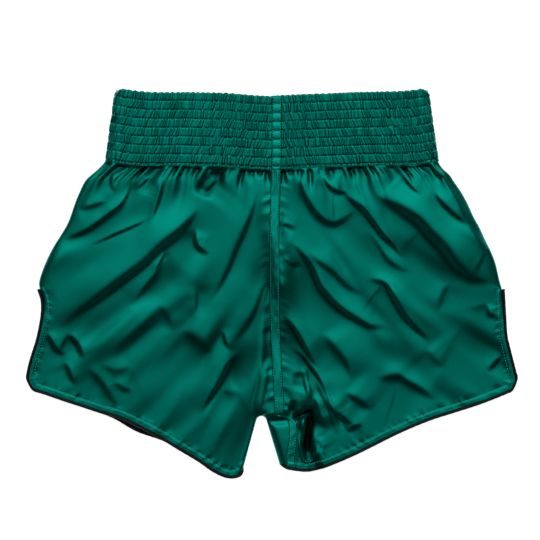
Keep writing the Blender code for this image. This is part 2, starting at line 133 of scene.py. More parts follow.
def soft_line(points, count):
    """Evenly spaced points on a soft curve through the given ones."""
    p = np.array(points, float)
    p = np.vstack([2 * p[0] - p[1], p, 2 * p[-1] - p[-2]])
    t = np.linspace(0, 1, 24, endpoint=False)[:, None]
    bends = [0.5 * (2 * b + (c - a) * t + (2 * a - 5 * b + 4 * c - d) * t ** 2
                    + (3 * b - a - 3 * c + d) * t ** 3)
             for a, b, c, d in zip(p, p[1:], p[2:], p[3:])]
    fine = np.vstack(bends + [p[-2:-1]])
    run = lengths_along(fine)
    return points_at(fine, run, np.linspace(0, run[-1], count))


def read_line(line, value, key, wanted):
    """One coordinate of a curve from another that only grows or only shrinks."""
    order = np.argsort(line[:, key], kind="stable")
    return np.interp(value, line[order, key], line[order, wanted])


# The gap between the legs: round at the top, its two folds slanting apart.
CROTCH = (-0.0103, -0.1325)
CROTCH_RADIUS = 0.005
SLANT = {LEFT: math.radians(15.2), RIGHT: math.radians(16.7)}
INNER_RISE = {LEFT: 0.0085, RIGHT: 0.0103}    # each leg's inner corner, above the lowest hem
LOWEST = low.y + 0.0032
CROTCH_RISE = CROTCH[1] - LOWEST


def crotch_arc(leg):
    return CROTCH_RADIUS * (math.pi / 2 - SLANT[leg])


def fold_length(leg):
    drop = CROTCH_RISE + CROTCH_RADIUS * math.sin(SLANT[leg]) - INNER_RISE[leg]
    return crotch_arc(leg) + drop / math.cos(SLANT[leg])


def fold_frame(along):
    """Point on the inner folds and the way into the cloth; minus is the left leg."""
    leg = RIGHT if along >= 0 else LEFT
    turn = min(abs(along), crotch_arc(leg)) / CROTCH_RADIUS
    inward = np.array((leg * math.sin(turn), math.cos(turn)))
    past = max(abs(along) - crotch_arc(leg), 0.0)
    down = np.array((leg * inward[1], -abs(inward[0])))
    return np.array(CROTCH) + CROTCH_RADIUS * inward + past * down, inward


def fold_distance(x, y):
    """How far a point of the cloth lies from the crotch and the inner folds."""
    x, y = x - CROTCH[0], y - CROTCH[1]
    leg = np.where(x >= 0, RIGHT, LEFT)
    slant = np.where(x >= 0, SLANT[RIGHT], SLANT[LEFT])
    beside = leg * x * np.cos(slant) + y * np.sin(slant)
    above = leg * x * np.sin(slant) - y * np.cos(slant) < 0
    return np.where(above, np.hypot(x, y), beside) - CROTCH_RADIUS


# Outlines of the cloth in millimetres: down each side, and out along each hem.
LINE_POINTS = 300
SIDE_BENDS = {
    LEFT: [(-160, 121), (-161.5, 117), (-167, 111), (-174, 105), (-180, 99), (-185.5, 88), (-190, 77),
        (-196, 60), (-203, 47.5), (-210, 36.5), (-216, 25), (-221, 13), (-224.3, 2), (-223.6, -5),
        (-220.3, -15), (-219.8, -27), (-221.5, -40), (-224.5, -54), (-227, -62), (-230.5, -73),
        (-233.2, -84), (-234, -92), (-232.6, -98)],
    RIGHT: [(160, 121), (160.5, 117), (164.5, 111), (171, 105), (175, 99), (182.5, 88), (188.5, 77),
        (194, 65), (200, 54), (205.5, 42), (211, 31), (215.5, 19), (219, 4), (221.3, -5), (222, -15),
        (222.8, -32), (224, -50), (226.6, -61.5), (229.5, -73), (232.3, -84), (234, -92), (233, -98)]}
HEM_BENDS = {
    LEFT: [(-28.6, -180.6), (-32.5, -183.8), (-38.5, -184.9), (-46, -183.6), (-57, -178),
        (-69, -169.5), (-87.5, -158.4), (-105.5, -147.4), (-126.5, -136.3), (-147, -127), (-165, -122),
        (-182.5, -116.2), (-200, -110.5), (-217, -104.6), (-227, -101.4), (-232.6, -98)],
    RIGHT: [(23, -177.4), (34, -178.4), (43, -176.8), (53, -173.6), (67, -168), (80, -162.2),
        (91.7, -156.5), (114.5, -145), (127, -139.2), (140.5, -133.4), (155.5, -127.7), (174, -121.9),
        (192, -116.2), (208, -110.4), (222.5, -104.6), (229, -101.6), (233, -98)]}
SIDE_LINE = {leg: soft_line(bends, LINE_POINTS) * MM for leg, bends in SIDE_BENDS.items()}
HEM_LINE = {}
for leg, bends in HEM_BENDS.items():
    corner = fold_frame(leg * fold_length(leg))[0]
    HEM_LINE[leg] = soft_line([corner] + [np.array(p) * MM for p in bends], LINE_POINTS)
CENTRE_LINE = {
    FRONT: soft_line([(5, 190), (4.4, 150), (4.3, 118), (2.6, 60), (2.4, 0), (3.4, -50), (7.7, -130)],
                     80) * MM,
    BACK: soft_line([(-3, 190), (-6, 118), (-15, -35), (-28.5, -130)], 80) * MM}
SLIT_TOP, HEM_CORNER, BAND_FOOT = -0.005, -0.0975, 0.118
BACK_LEVEL, WAIST_LEVEL, HEM_LEVEL = 0.0013, 0.0119, 0.0090   # of the back layer, and the front one
SLIT_LIFT, SIDE_LIFT = 0.0018, 0.0004         # half the gap from layer to layer at the edge there
FOLD_ROUNDING = 0.008                         # how far in from a leg's inner fold the cloth turns
WAIST_WIDTH = 0.1598                          # half, where the panels leave the band
BAND_DIP = 0.008


def dip(share):
    """How far the waistband's lines sink below its corners; the share runs from 0 to 1 at a corner."""
    return BAND_DIP * np.interp(np.abs(share), [0, .12, .3, .55, .78, .86, .93, 1],
                                [1, .95, .72, .5, .53, .45, .26, 0])


def centre_x(y, side):
    return read_line(CENTRE_LINE[side], y, 1, 0)


def side_x(y, x):
    """Distance from the middle out to the side that x is on."""
    return np.where(x < 0, -read_line(SIDE_LINE[LEFT], y, 1, 0), read_line(SIDE_LINE[RIGHT], y, 1, 0))


def round_rise(distance, reach):
    share = np.clip(distance / reach, 0.0, 1.0)
    return np.sqrt(1 - (1 - share) ** 2)


def lay_level(x, y, side):
    """Height of a layer before its folds: flat inside, turned down to the other layer at the sides."""
    front = mix(HEM_LEVEL, WAIST_LEVEL, ease((y - HEM_CORNER) / 0.20))
    centre, half = (front + BACK_LEVEL) / 2, (front - BACK_LEVEL) / 2
    rounding = mix(0.010, 0.016, ease((BAND_FOOT - y) / 0.038))
    lift = np.where(y > SLIT_TOP, mix(SLIT_LIFT, SIDE_LIFT, ease((y - SLIT_TOP) / 0.004)),
                    mix(SLIT_LIFT, half, ease((SLIT_TOP - y) / 0.040)))
    rise = lift + (half - lift) * round_rise(side_x(y, x) - np.abs(x), rounding)
    return centre + side * rise * round_rise(fold_distance(x, y), FOLD_ROUNDING)


# Folds, each with its width and height in millimetres, how much of it is ridge rather than
# hollow, and the points it runs through. The ridge is on the side nearer the waist.
FRONT_FOLDS = [
    (4.4, 3.8, -0.25, [(-132, 105), (-136, 90), (-145, 76), (-159, 65), (-176, 53), (-191, 46),
        (-204, 43)]),
    (1.8, 1.2, 0, [(-115, 103), (-123, 96), (-130, 88)]),
    (1.2, 0.9, 0.2, [(-115, 63), (-130, 56), (-145, 49), (-158, 43), (-176, 36)]),
    (2, 1.5, 0, [(-105, 108), (-106, 96), (-109, 79), (-115, 55)]),
    (5.6, 6, 0.3, [(-67, 75), (-83, 56), (-96, 42), (-115, 26), (-130, 13), (-145, 1), (-161, -10),
        (-176, -21), (-191, -32), (-203, -44)]),
    (1.2, 1, 0, [(-100, 32), (-107, 21), (-115, 10)]),
    (5, 2.6, -0.3, [(-99, 27), (-109, 12), (-120, -2), (-130, -16), (-138, -22)]),
    (2.2, 1.9, 0.1, [(-75, 53), (-75, 41), (-70, 33), (-59, 28)]),
    (4.5, 2.6, 0, [(-47, 104), (-55, 96), (-66, 84)]),
    (4.2, 2.2, 0.3, [(-14, 96), (-18, 73), (-24, 52), (-34, 32), (-43, 12), (-53, -10), (-62, -23)]),
    (4.6, 2.3, 0.1, [(-2, 9), (-12, -14), (-21, -34), (-30, -49), (-37, -58)]),
    (2, 1, 0, [(-48, -43), (-44, -55), (-37, -65)]),
    (3, 2.6, 0.1, [(-28, -66), (-40, -76), (-47, -88), (-55, -103), (-63, -118), (-70, -128)]),
    (10, 3.4, 0, [(-90, -46), (-75, -57), (-55, -68)]),
    (4, 1.2, 0, [(-73, 1), (-71, -16), (-74, -34)]),
    (6, 1.6, 0, [(-112, -19), (-102, -31), (-95, -46)]),
    (6, 1.2, 0, [(-165, -78), (-151, -85), (-136, -78)]),
    (3, 1, 0, [(-153, -94), (-142, -102), (-133, -103)]),
    (3, 2, 0, [(-217, -45), (-212, -57), (-206, -65), (-197, -67)]),
    (2.6, 1.9, 0, [(-197, -46), (-188, -57), (-181, -73)]),
    (2.2, 1.3, 0, [(-199, -75), (-194, -89), (-190, -99)]),
    (4.5, 1.6, 0, [(-178, -80), (-165, -95), (-154, -111), (-145, -121)]),
    (3, 1.2, 0, [(-187, 72), (-171, 75), (-158, 80)]),
    (2, 1, 0, [(-152, 110), (-154, 99), (-151, 87)]),
    (4, 1.6, 0.1, [(-5, -25), (-6, -54), (-8, -74), (-14, -98), (-19, -115), (-23, -132)]),
    (6, 1.3, 0, [(2, 3), (-6, -26), (-9, -65), (-17, -95)]),
    (7, 1.4, 0, [(-50, -103), (-40, -107), (-30, -103)]),
    (4, 2.4, 0, [(23, 107), (28, 93), (34, 79), (44, 65), (58, 58), (70, 63), (81, 72)]),
    (2.2, 2.2, 0.1, [(48, 104), (53, 94), (62, 88), (74, 87)]),
    (3.6, 3.6, 0.1, [(65, 89), (76, 79), (87, 70), (96, 59), (105, 47), (116, 37), (123, 29),
        (132, 23)]),
    (7.6, 6.6, 0.25, [(95, 92), (103, 82), (114, 75), (126, 68), (139, 59), (149, 47), (162, 34),
        (172, 21), (183, 10), (195, 2), (218, 0)]),
    (1.8, 1.2, 0, [(123, 105), (131, 94), (143, 85)]),
    (3.6, 2.4, 0.1, [(154, 91), (163, 77), (174, 65), (185, 58), (193, 54)]),
    (1.8, 1.6, 0.1, [(152, 111), (158, 104), (167, 102)]),
    (4.6, 4.2, 0, [(9, 43), (22, 35), (32, 24), (38, 12), (44, -3), (55, -15), (67, -26), (79, -34),
        (93, -41), (107, -43), (120, -48)]),
    (4.5, 1.8, 0.1, [(33, 33), (44, 20), (58, 9), (73, -2), (91, -11)]),
    (2.9, 3.2, 0, [(91, 5), (107, 0), (114, -11), (123, -25), (134, -38), (143, -48), (154, -59)]),
    (2.8, 2.8, 0.1, [(9, -31), (18, -40), (25, -51), (32, -63), (39, -74), (46, -82)]),
    (1.6, 1.6, 0.2, [(15, -60), (28, -69), (39, -84), (49, -100), (59, -121)]),
    (5.5, 2.6, 0, [(47, -46), (59, -62), (70, -77), (77, -94)]),
    (5.5, 3, 0, [(100, -92), (120, -91), (131, -97), (146, -104), (160, -113)]),
    (5, 2.2, 0, [(70, -103), (84, -114), (97, -124)]),
    (2.5, 1.4, 0, [(205, -19), (208, -29), (218, -32)]),
    (2.5, 1.3, 0, [(208, -85), (215, -78), (223, -70)]),
    (1.8, 1.1, 0, [(9, 26), (18, 20), (29, 19)]),
    (1.6, 0.9, 0, [(9, 58), (16, 55), (23, 51)]),
    (6, 1.3, 0, [(146, -63), (156, -74), (166, -81)]),
    (5, 1.2, 0, [(172, 3), (166, -11), (159, -28)]),
    (4.5, 1.4, 0.1, [(88, 52), (99, 39), (108, 26), (120, 16), (136, 9)]),
    (2.4, 4.2, 0, [(36, -122), (34, -132), (33, -147), (33, -160), (34, -167)]),
    (1.4, 1.8, 0, [(20, -111), (18, -119), (17, -128)]),
    (4.5, 3, 0, [(37, -107), (43, -121), (46, -131), (52, -142)]),
    (3, 2.2, 0.2, [(52, -107), (59, -122), (68, -130), (79, -138)]),
    (2, 1, 0, [(42, -148), (46, -155), (50, -162)]),
    (3, 1.6, 0, [(71, -143), (78, -139), (88, -137)])]
# Troughs, even on both sides, and raised creases where the depth is negative: width, depth, how
# flat the bottom is, and the points.
FRONT_TROUGHS = [
    (6.5, 3.2, 3, [(-47, 109), (-56, 101), (-64, 92), (-69, 82)]),
    (2.3, 7.5, 1.5, [(42, -119), (37, -127), (35, -142), (33, -156), (33, -165)]),
    (1.3, -1.7, 3, [(26, -138), (27, -156), (32, -171), (40, -168), (46, -152)]),
    (1.2, 1.6, 3, [(19, -110), (18, -119), (17, -129)]),
    (2.2, 5.5, 1.6, [(19, -130), (28, -127), (39, -120)]),
    (3.0, 2.0, 2, [(-12, -131), (4, -132.5), (20, -131)]),
    (4.0, -2.0, 3, [(-6, -70), (-9, -95), (-13, -115), (-16, -130)]),
    (3.0, -1.6, 3, [(39, -84), (49, -103), (58, -124), (64, -146)]),
    (2.2, -1.2, 3, [(31, -78), (33, -95), (38, -112)]),
    (6.0, 1.6, 3, [(27, -84), (28, -96), (25, -104)])]
BACK_FOLDS = [
    (7, 1.3, 0.3, [(-60, 108), (-95, 60), (-140, 10), (-190, -20)]),
    (6, 1.2, 0.3, [(-20, 100), (-50, 30), (-75, -30), (-100, -90)]),
    (6, 1.2, 0.3, [(-120, 108), (-160, 70), (-200, 45)]),
    (7, 1.3, 0.3, [(50, 108), (90, 55), (150, 0), (200, -25)]),
    (6, 1.2, 0.3, [(10, 90), (30, 20), (60, -50), (75, -110)]),
    (6, 1.2, 0.3, [(110, 108), (150, 75), (195, 50)])]


def line_distance(x, y, line):
    """Distance to a line, its sign, plus on the left of the way it runs, and the share along it."""
    ax, ay = line[:-1].T
    bx, by = np.diff(line, axis=0).T
    share = np.clip(((x[:, None] - ax) * bx + (y[:, None] - ay) * by) / (bx ** 2 + by ** 2), 0, 1)
    dx, dy = x[:, None] - ax - share * bx, y[:, None] - ay - share * by
    away = np.hypot(dx, dy)
    best, rows = away.argmin(1), np.arange(len(x))
    sign = np.sign(bx[best] * dy[rows, best] - by[best] * dx[rows, best])
    return away[rows, best], sign, (best + share[rows, best]) / len(bx)


def near_line(x, y, line, reach):
    return ((x > line[:, 0].min() - reach) & (x < line[:, 0].max() + reach)
            & (y > line[:, 1].min() - reach) & (y < line[:, 1].max() + reach))


def fold_rise(x, y, folds):
    """Rise and fall of the cloth over a list of folds: steep at the line, and long easy flanks."""
    rise = np.zeros_like(x)
    for width, height, ridge, points in folds:
        line = soft_line(points, 5 * len(points)) * MM
        up = 1 if line[-1, 0] >= line[0, 0] else -1
        flank = (5 + 3.2 * width) * MM
        reach = 3.5 * flank
        near = near_line(x, y, line, reach)
        away, sign, along = line_distance(x[near], y[near], line)
        taper = ease(along / 0.35) * ease((1 - along) / 0.42)
        lobe = 1 + up * sign * ridge
        part = away / lobe
        core = width * MM * (0.5 + 0.5 * taper) * np.where(up * sign > 0, 0.85, 1.4)   # softer below
        fade = ((0.45 * np.exp(-part / flank / 0.38) + 0.6 * np.exp(-part / flank))
                * np.clip(1 - (away / reach) ** 2, 0, 1) ** 2)
        rise[near] += (1.15 * height * MM * up * sign * lobe * part * fade * taper
                       / np.hypot(part, core))
    return rise


def trough_rise(x, y, troughs):
    """The troughs and raised creases, all even on both sides."""
    rise = np.zeros_like(x)
    for width, depth, flatness, points in troughs:
        line = soft_line(points, 6 * len(points)) * MM
        reach = 3.5 * width * MM
        near = near_line(x, y, line, reach)
        away, along = line_distance(x[near], y[near], line)[::2]
        taper = ease(along / 0.3) * ease((1 - along) / 0.3)
        rise[near] -= depth * MM * np.exp(-(away / (width * MM)) ** flatness / 1.4) * taper
    return rise


def across_share(x, y):
    """0 at the centre seam to 1 at the side, where a thread from the waistband passes."""
    middle_x = centre_x(y, FRONT)
    return (x - middle_x) / np.where(x < middle_x, -side_x(y, -1.0), side_x(y, 1.0) - middle_x)


rng = np.random.default_rng(5)


def gather_set(count, widths, lengths, heights):
    """Place, width, length and height of gathers that leave the waistband."""
    place = np.linspace(-0.985, 0.985, count) + rng.uniform(-0.6, 0.6, count) / count
    return np.stack([place] + [rng.uniform(*pair, count) for pair in (widths, lengths, heights)], 1)


PLEATS = gather_set(46, (0.007, 0.017), (0.016, 0.050), (-0.0013, 0.0018))
HOLLOWS = gather_set(34, (0.012, 0.030), (0.005, 0.015), (-0.0044, -0.0010))
SWELLS = np.stack([rng.uniform(*pair, 120) for pair in
                   ((-0.22, 0.22), (-0.17, 0.11), (0.022, 0.050), (0.006, 0.013))]
                  + [rng.normal(0, 0.0012, 120)], 1)          # middle, length, width and height


def wander(x, y):
    """Places shifted by a millimetre or so, so that no fold runs quite true."""
    dx = 0.0007 * np.sin(80 * x + 55 * y + 1.3) + 0.0005 * np.sin(-60 * x + 120 * y + 0.4)
    dy = 0.0007 * np.sin(70 * y - 80 * x + 2.1) + 0.0005 * np.sin(130 * x + 40 * y + 4.0)
    return x + dx, y + dy


def swell_rise(x, y):
    """Low uneven swells, drawn out the way the folds run: down and out to the sides."""
    rise = np.zeros_like(x)
    for at_x, at_y, length, width, height in SWELLS:
        lean = math.radians(14 + 42 * min(abs(at_x) / 0.15, 1)) * math.copysign(1, at_x)
        along = (x - at_x) * math.sin(lean) - (y - at_y) * math.cos(lean)
        across = (x - at_x) * math.cos(lean) + (y - at_y) * math.sin(lean)
        rise += height * np.exp(-(along / length) ** 2 - (across / width) ** 2)
    return rise


def gather_rise(x, y):
    """Pleats and hollows where the panels are drawn into the waistband; they open out as they fall."""
    thread = across_share(x, y)
    down = np.maximum(BAND_FOOT - dip(thread) - y, 0)
    rise = np.zeros_like(x)
    for place, width, length, height in PLEATS:
        open_to = width * (1 + down / 0.030)
        rise += height * np.exp(-((thread - place) / open_to) ** 2 - (down / length) ** 2)
    rise = rise * ease(down / 0.003)
    for place, width, length, height in HOLLOWS:
        rise += height * ease(down / 0.0024) * np.exp(-((thread - place) / width) ** 2
                                                      - (down / length) ** 2)
    return rise


SEWN_IN = 0.0047                              # the turned edge's stitching, from the edge
CENTRE_STRIP = 0.0094                         # width of the strip down the centre seam
STITCHES = 400
DRAWN = rng.normal(0, 1, (4, STITCHES))       # how hard each stitch has drawn the cloth


def drawn(run, row, pitch):
    """Uneven pull of a row of stitches along it."""
    return np.interp(run / pitch, np.arange(STITCHES), DRAWN[row])


def hem_of(leg, side):
    """The hem of one layer of one leg. The left back hem has slid out a little below the front one."""
    line = HEM_LINE[leg].copy()
    if (leg, side) == (LEFT, BACK):
        line[:, 1] -= 0.0056 * np.exp(-((line[:, 0] + 0.131) / 0.022) ** 2)
    return line


def edge_line(leg, side):
    """Hem and slit of one layer of one leg, from the inner fold to the slit's top."""
    hem = hem_of(leg, side)
    slit = SIDE_LINE[leg][SIDE_LINE[leg][:, 1] <= SLIT_TOP][::-1]
    corner = np.concatenate([hem[:-4], slit[5:]])
    return soft_line(corner[::6], 150)


def hem_turn(x, y, side):
    """The turned edge of hems and slits: thicker, its stitching sunk in, and puckers beside it."""
    rise = np.zeros_like(x)
    for leg in (LEFT, RIGHT):
        line = edge_line(leg, side)
        beside_hem = y < read_line(line, x, 0, 1) + 0.016
        near = (leg * x > 0.015) & (y < SLIT_TOP + 0.006) & (
            beside_hem | (np.abs(side_x(y, x)) - np.abs(x) < 0.014))
        if not near.any():
            continue
        away, _, along = line_distance(x[near], y[near], line[::2])
        run = along * 0.34 + 0.25 * away
        pull = drawn(run, 0 if leg < 0 else 1, 0.0026)
        rise[near] += (0.0005 * ease((SEWN_IN + 0.0009 - away) / 0.0008)
                       - 0.00035 * np.exp(-((away - SEWN_IN) / 0.0006) ** 2)
                       + 0.0003 * pull * np.exp(-((away - SEWN_IN - 0.001) / 0.0028) ** 2))
    return rise


def strip_pucker(x, y, side):
    """Short hooked creases on both sides of the centre strip, where its stitching draws the cloth."""
    middle_x = centre_x(y, side)
    beside_strip = np.abs(x - middle_x) - CENTRE_STRIP / 2
    run = 0.2 + y + 0.35 * beside_strip + 12 * beside_strip ** 2
    pull = np.where(x > middle_x, drawn(run, 2, 0.0036), drawn(run, 3, 0.0042))
    return (0.00042 * pull * ease((beside_strip + 0.0005) / 0.0015) * ease((y + 0.127) / 0.004)
            * np.exp(-(np.maximum(beside_strip, 0) / 0.0065) ** 2))


CLEAR = 0.0046                                # the front layer stays above this, clear of the back one
SOFTLY = 0.001                                # height over which it comes to rest there
FULL_PAINTED_SHADE_DEPTH = 0.0040                              # depth of a fold's hollow at which the painted shade is full


def height_of(x, y, side, painted_shade=False):
    """Finished height of the front or back layer and, if asked, how much painted shade the front one
    gets in its hollows, 0 to 1.
    """
    level = lay_level(x, y, side)
    inside = ease((side_x(y, x) - np.abs(x) + 0.002) / 0.012) * ease(fold_distance(x, y) / 0.006)
    below_band = ease((BAND_FOOT + 0.001 - dip(across_share(x, y)) - y) / 0.004)
    if side == FRONT:
        wx, wy = wander(x, y)
        folds = (fold_rise(wx, wy, FRONT_FOLDS) + trough_rise(x, y, FRONT_TROUGHS)
                 + swell_rise(x, y) + gather_rise(wx, y) + strip_pucker(x, y, FRONT))
        folds = folds * inside * mix(0.15, 1, below_band) + hem_turn(x, y, FRONT)
        above = level + folds - CLEAR * inside
        height = CLEAR * inside + np.where(above > SOFTLY, above, SOFTLY * np.exp(above / SOFTLY - 1))
        # painted shade: the depth of each fold's hollow becomes a darkening of the front layer's colour
        return (height, np.clip(-folds / FULL_PAINTED_SHADE_DEPTH, 0, 1) ** 1.2) if painted_shade else height
    folds = 0.0012 + 0.8 * fold_rise(x, y, BACK_FOLDS) + 0.5 * gather_rise(x, y)
    return np.maximum(level, 0.0006) + np.maximum(folds, 0) * inside * below_band


def new_material(name):
    material = bpy.data.materials.new(name)
    material.use_nodes = True
    return material, material.node_tree.nodes, material.node_tree.links


def add_node(nodes, kind, constants, **settings):
    node = nodes.new("ShaderNode" + kind)
    for key, value in settings.items():
        setattr(node, key, value)
    for socket, value in constants.items():
        node.inputs[socket].default_value = value
    return node


def weave_group():
    """Fine satin weave: a tint that varies from place to place, and a height for bump."""
    group = bpy.data.node_groups.new("satin_weave", "ShaderNodeTree")
    for way, name, kind in (("INPUT", "Vector", "Vector"), ("INPUT", "Colour", "Color"),
                            ("INPUT", "Shade", "Color"), ("INPUT", "Thread", "Float"),
                            ("OUTPUT", "Colour", "Color"), ("OUTPUT", "Height", "Float"),
                            ("OUTPUT", "Roughness", "Float")):
        group.interface.new_socket(name, in_out=way, socket_type="NodeSocket" + kind)
    nodes, links = group.nodes, group.links
    inlet, outlet = nodes.new("NodeGroupInput"), nodes.new("NodeGroupOutput")
    stretch = add_node(nodes, "Mapping", {"Scale": (1.0, 0.12, 1.0)})
    thread = add_node(nodes, "TexNoise", {"Detail": 2})
    cloud = add_node(nodes, "TexNoise", {"Scale": 18, "Detail": 3})
    both = add_node(nodes, "Math", {1: 0.45}, operation="MULTIPLY_ADD")
    blend = add_node(nodes, "MapRange", {"From Min": 0.45, "From Max": 1.0})
    tint = add_node(nodes, "Mix", {}, data_type="RGBA")
    rough = add_node(nodes, "MapRange", {"To Min": 0.36, "To Max": 0.44})
    for first, out_of, second, into in (
            (inlet, "Vector", stretch, "Vector"), (stretch, "Vector", thread, "Vector"),
            (inlet, "Thread", thread, "Scale"), (inlet, "Vector", cloud, "Vector"),
            (thread, "Fac", both, 0), (cloud, "Fac", both, 2), (both, "Value", blend, "Value"),
            (inlet, "Shade", tint, "A"), (inlet, "Colour", tint, "B"),
            (blend, "Result", tint, "Factor"), (cloud, "Fac", rough, "Value"),
            (tint, "Result", outlet, "Colour"), (thread, "Fac", outlet, "Height"),
            (rough, "Result", outlet, "Roughness")):
        links.new(first.outputs[out_of], second.inputs[into])
    return group


WEAVE = weave_group()
WEAVE_BUMP = 0.0002                           # height of the threads
PAINTED_SHADE_SHARE = 0.05                                 # share of the cloth's colour left where the painted shade is full, in a deep hollow


def cloth_material(name, colour, shade, metallic=0.97, thread=1800.0, bump=0.10, rough=None):
    """Woven cloth that varies between two colours, with painted shade that darkens it in the hollows of
    its folds.
    """
    material, nodes, links = new_material(name)
    shader = nodes["Principled BSDF"]
    place = nodes.new("ShaderNodeTexCoord")
    weave = nodes.new("ShaderNodeGroup")
    weave.node_tree = WEAVE
    for socket, value in (("Colour", (*colour, 1)), ("Shade", (*shade, 1)), ("Thread", thread)):
        weave.inputs[socket].default_value = value
    relief = add_node(nodes, "Bump", {"Strength": bump, "Distance": WEAVE_BUMP})
    # Painted shade: the points' darkening in fold hollows, mixed into the base colour.
    depth = add_node(nodes, "Attribute", {}, attribute_name="painted_shade")
    painted_shade_mix = add_node(nodes, "Mix", {"B": (*(PAINTED_SHADE_SHARE * c for c in shade), 1)}, data_type="RGBA")
    links.new(place.outputs["Object"], weave.inputs["Vector"])
    links.new(weave.outputs["Height"], relief.inputs["Height"])
    links.new(relief.outputs["Normal"], shader.inputs["Normal"])
    links.new(depth.outputs["Fac"], painted_shade_mix.inputs["Factor"])
    links.new(weave.outputs["Colour"], painted_shade_mix.inputs["A"])
    links.new(painted_shade_mix.outputs["Result"], shader.inputs["Base Color"])
    if rough is None:
        links.new(weave.outputs["Roughness"], shader.inputs["Roughness"])
    else:
        shader.inputs["Roughness"].default_value = rough
    shader.inputs["Metallic"].default_value = metallic
    shader.inputs["Specular IOR Level"].default_value = 0.25
    return material


SATIN = cloth_material("satin", (0.000, 0.250, 0.190), (0.000, 0.205, 0.155))


def in_edit_mode(piece, *steps):
    """Selects a piece alone and runs steps on the whole of its mesh."""
    bpy.ops.object.select_all(action="DESELECT")
    bpy.context.view_layer.objects.active = piece
    piece.select_set(True)
    bpy.ops.object.mode_set(mode="EDIT")
    for step, settings in steps:
        step(**settings)
    bpy.ops.object.mode_set(mode="OBJECT")


def lay_grid(name, points, material, outward, thickness=CLOTH, cut=None, painted_shade=None):
    """A grid of cloth laid on rows of points, facing outward, with its thickness inside, and any
    painted shade kept on its points.
    """
    rows, columns = points.shape[:2]
    bpy.ops.object.select_all(action="DESELECT")
    bpy.ops.mesh.primitive_grid_add(x_subdivisions=columns - 1, y_subdivisions=rows - 1, size=1)
    piece = bpy.context.object
    piece.name = piece.data.name = name
    mesh = piece.data
    flat = np.empty(len(mesh.vertices) * 3)
    mesh.vertices.foreach_get("co", flat)
    flat = flat.reshape(-1, 3)
    column = np.rint((flat[:, 0] + 0.5) * (columns - 1)).astype(int)
    row = np.rint((flat[:, 1] + 0.5) * (rows - 1)).astype(int)
    mesh.vertices.foreach_set("co", points[row, column].ravel())
    mesh.update()
    normals, centres = np.empty(len(mesh.polygons) * 3), np.empty(len(mesh.polygons) * 3)
    mesh.polygons.foreach_get("normal", normals)
    mesh.polygons.foreach_get("center", centres)
    if (normals.reshape(-1, 3) * outward(centres.reshape(-1, 3))).sum() < 0:
        mesh.flip_normals()
    mesh.polygons.foreach_set("use_smooth", np.ones(len(mesh.polygons), bool))
    if painted_shade is not None:
        # the painted shade of the fold hollows, kept on the points for the material
        mesh.attributes.new("painted_shade", "FLOAT", "POINT").data.foreach_set("value", painted_shade[row, column])
    if cut is not None:
        in_edit_mode(piece, (bpy.ops.mesh.select_mode, {"type": "VERT"}),
                     (bpy.ops.mesh.select_all, {"action": "DESELECT"}))
        mesh.vertices.foreach_set("select", cut[row, column])
        in_edit_mode(piece, (bpy.ops.mesh.delete, {"type": "VERT"}))
    if thickness:
        wall = piece.modifiers.new("thickness", "SOLIDIFY")
        wall.thickness = thickness
        wall.offset = -1
        bpy.ops.object.modifier_apply(modifier=wall.name)
    piece.data.materials.clear()
    piece.data.materials.append(material)
    return piece


def facing(side):
    """Which way faces turn by where they lie: up or down, or as a rule says for each."""
    return lambda centres: np.outer(side(centres) if callable(side) else side, (0, 0, 1))


def over_or_under(centres):
    """Up for faces of the front layer, down for those that have gone round to the back one."""
    return np.where(centres[:, 2] > BETWEEN_LAYERS, 1, -1)


# Where the inner leg seams lie over the inner folds. Front seams show on the right leg and back seams
# on the left one; the other two have gone round their fold, by these lengths.
FOLD_ARC = 0.0104
INSEAM_STRIP = 0.0076
BETWEEN_LAYERS = 0.0055
HIDDEN = {FRONT: -0.0037, BACK: 0.0045}


def inset(over):
    """How far in from the fold the cloth lies, for its length round it."""
    over = abs(over)
    if over < FOLD_ARC:
        return FOLD_ROUNDING * (1 - math.cos(over / FOLD_ARC * math.pi / 2))
    return FOLD_ROUNDING + over - FOLD_ARC


HEM_READ = {leg: np.column_stack([fold_distance(*line.T), line]) for leg, line in HEM_LINE.items()}


def hem_length(leg, distance):
    """Length along the fold down to the hem, at a distance in from the fold."""
    x, y = (read_line(HEM_READ[leg], distance, 0, i) for i in (1, 2))
    down = leg * (x - CROTCH[0]) * math.sin(SLANT[leg]) - (y - CROTCH[1]) * math.cos(SLANT[leg])
    return crotch_arc(leg) + down


def seam_over(share, side):
    """How far an inner leg seam lies over its fold, at a share of the way along it."""
    length = fold_length(RIGHT if share >= 0 else LEFT)
    along = side * share * length
    shown = mix(0.0256, 0.0129, ease((along - 0.012) / (length - 0.012)))
    return side * mix(HIDDEN[side], shown, ease((along + 0.004) / 0.016))


def over_fold(share, over):
    """Point of the cloth from its place along the folds and its length over them; minus is behind."""
    leg = RIGHT if share >= 0 else LEFT
    (x, y), inward = fold_frame(share * hem_length(leg, inset(over)))
    return x + inward[0] * inset(over), y + inward[1] * inset(over)


def seam_point(share, side):
    """Point of an inner leg seam, on the panel's side of it."""
    return over_fold(share, seam_over(share, side) + side * 0.003)


def crotch_share(side):
    """Where an inner leg seam meets the centre seam."""
    first, last = (-0.16, 0.30) if side == FRONT else (-0.30, 0.16)
    for _ in range(25):
        half = (first + last) / 2
        x, y = seam_point(half, side)
        if x < centre_x(y, side):
            first = half
        else:
            last = half
    return (first + last) / 2


TUCK = 0.0035                                 # length of panel inside the waistband


